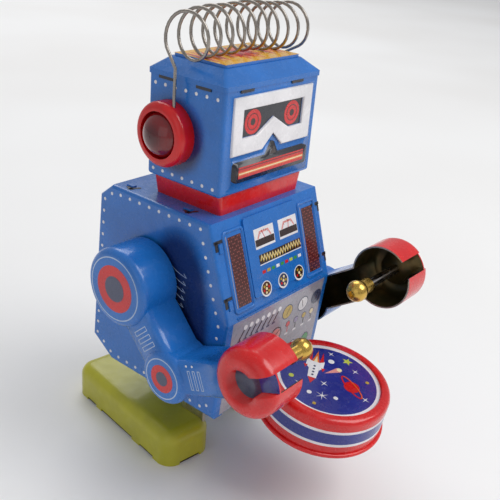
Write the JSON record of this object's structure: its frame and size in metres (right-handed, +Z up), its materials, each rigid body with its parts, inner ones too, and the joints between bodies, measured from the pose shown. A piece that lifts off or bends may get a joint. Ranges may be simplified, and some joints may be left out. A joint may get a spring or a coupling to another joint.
{
  "type": "wind-up tin robot",
  "caption": "Clockwork tin toy robot that shuffles on two feet and beats a small round drum with two sticks; box head with goggle face, round ears and coil antenna.",
  "frame": {"origin": "on the floor, centre of the bounding box", "axes": "+Z up, the robot faces -Y, its right side is at -X; X is across the body"},
  "size_m": [0.067, 0.0962, 0.1216],
  "materials": {
    "blue_tin": "gloss lithographed tinplate",
    "red_tin": "gloss lithographed tinplate",
    "yellow_tin": "gloss lithographed tinplate",
    "dark_tin": "dark lacquer",
    "bare_tin": "bare tinplate",
    "steel": "satin",
    "bright_rod": "bright drawn steel",
    "spring_wire": "drawn spring wire",
    "brass": "turned brass",
    "red_plastic": "moulded, gloss",
    "lens_plastic": "moulded, deep gloss"
  },
  "bodies": {
    "torso": {"torso_side_right": "blue_tin", "torso_side_left": "blue_tin", "torso_front": "blue_tin", "torso_back": "blue_tin", "torso_base": "blue_tin", "neck_collar": "red_tin", "head_shell": "blue_tin", "head_front": "blue_tin", "head_cap": "blue_tin", "ear_right": "red_plastic", "ear_left": "red_plastic", "ear_lens_right": "lens_plastic", "ear_lens_left": "lens_plastic", "antenna_coil": "spring_wire", "drum_shell": "red_tin", "drum_base": "red_tin", "drum_bracket": "bare_tin", "drum_rivet": "steel", "motor_plate_right": "bare_tin", "motor_plate_left": "bare_tin", "motor_pillars": "steel", "mainspring": "spring_wire"},
    "key_body": {"winding_key": "steel", "key_arbor": "steel", "great_wheel": "brass"},
    "second_body": {"second_shaft": "steel", "second_pinion": "brass", "second_wheel": "brass"},
    "crank_body": {"crank_axle": "steel", "crank_pinion": "brass", "crank_wheel": "brass", "crank_disc_right": "steel", "crank_disc_left": "steel"},
    "governor_body": {"governor_shaft": "steel", "governor_pinion": "brass", "governor_flywheel": "steel"},
    "right_foot": {"leg_right": "bare_tin", "shoe_right": "yellow_tin", "sole_right": "dark_tin"},
    "left_foot": {"leg_left": "bare_tin", "shoe_left": "yellow_tin", "sole_left": "dark_tin"},
    "right_arm": {"arm_shell_right": "blue_tin", "arm_shaft_right": "steel", "arm_lever_right": "steel", "stick_rod_right": "bright_rod", "stick_ball_right": "brass"},
    "left_arm": {"arm_shell_left": "blue_tin", "arm_shaft_left": "steel", "arm_lever_left": "steel", "stick_rod_left": "bright_rod", "stick_ball_left": "brass"}
  },
  "joints": [
    {"name": "crank_spin", "type": "hinge", "parent": "torso", "child": "crank_body", "pos_m": [0, 0.00564, 0.0312], "axis": [1, 0, 0], "continuous": true},
    {"name": "second_spin", "type": "hinge", "parent": "torso", "child": "second_body", "pos_m": [0, 0.00934, 0.04134], "axis": [1, 0, 0], "continuous": true},
    {"name": "key_spin", "type": "hinge", "parent": "torso", "child": "key_body", "pos_m": [0, 0.02104, 0.0346], "axis": [1, 0, 0], "continuous": true},
    {"name": "governor_spin", "type": "hinge", "parent": "torso", "child": "governor_body", "pos_m": [0, -0.00326, 0.0348], "axis": [1, 0, 0], "continuous": true},
    {"name": "right_foot_level", "type": "hinge", "parent": "crank_body", "child": "right_foot", "pos_m": [-0.012, 0.00414, 0.0312], "axis": [1, 0, 0], "continuous": true},
    {"name": "left_foot_level", "type": "hinge", "parent": "crank_body", "child": "left_foot", "pos_m": [0.012, 0.00714, 0.0312], "axis": [1, 0, 0], "continuous": true},
    {"name": "right_arm_swing", "type": "hinge", "parent": "torso", "child": "right_arm", "pos_m": [-0.027, 0.01194, 0.0539], "axis": [-1, 0, 0], "range_deg": [-12, 23.5]},
    {"name": "left_arm_swing", "type": "hinge", "parent": "torso", "child": "left_arm", "pos_m": [0.027, 0.01194, 0.0539], "axis": [-1, 0, 0], "range_deg": [-23.5, 12]}
  ],
  "couplings": [
    {"joint": "second_spin", "follows": "crank_spin", "ratio": -0.33333},
    {"joint": "key_spin", "follows": "crank_spin", "ratio": 0.083333},
    {"joint": "governor_spin", "follows": "crank_spin", "ratio": -3},
    {"joint": "right_foot_level", "follows": "crank_spin", "ratio": -1},
    {"joint": "left_foot_level", "follows": "crank_spin", "ratio": -1},
    {"joint": "left_arm_swing", "follows": "right_arm_swing", "ratio": -1}
  ]
}
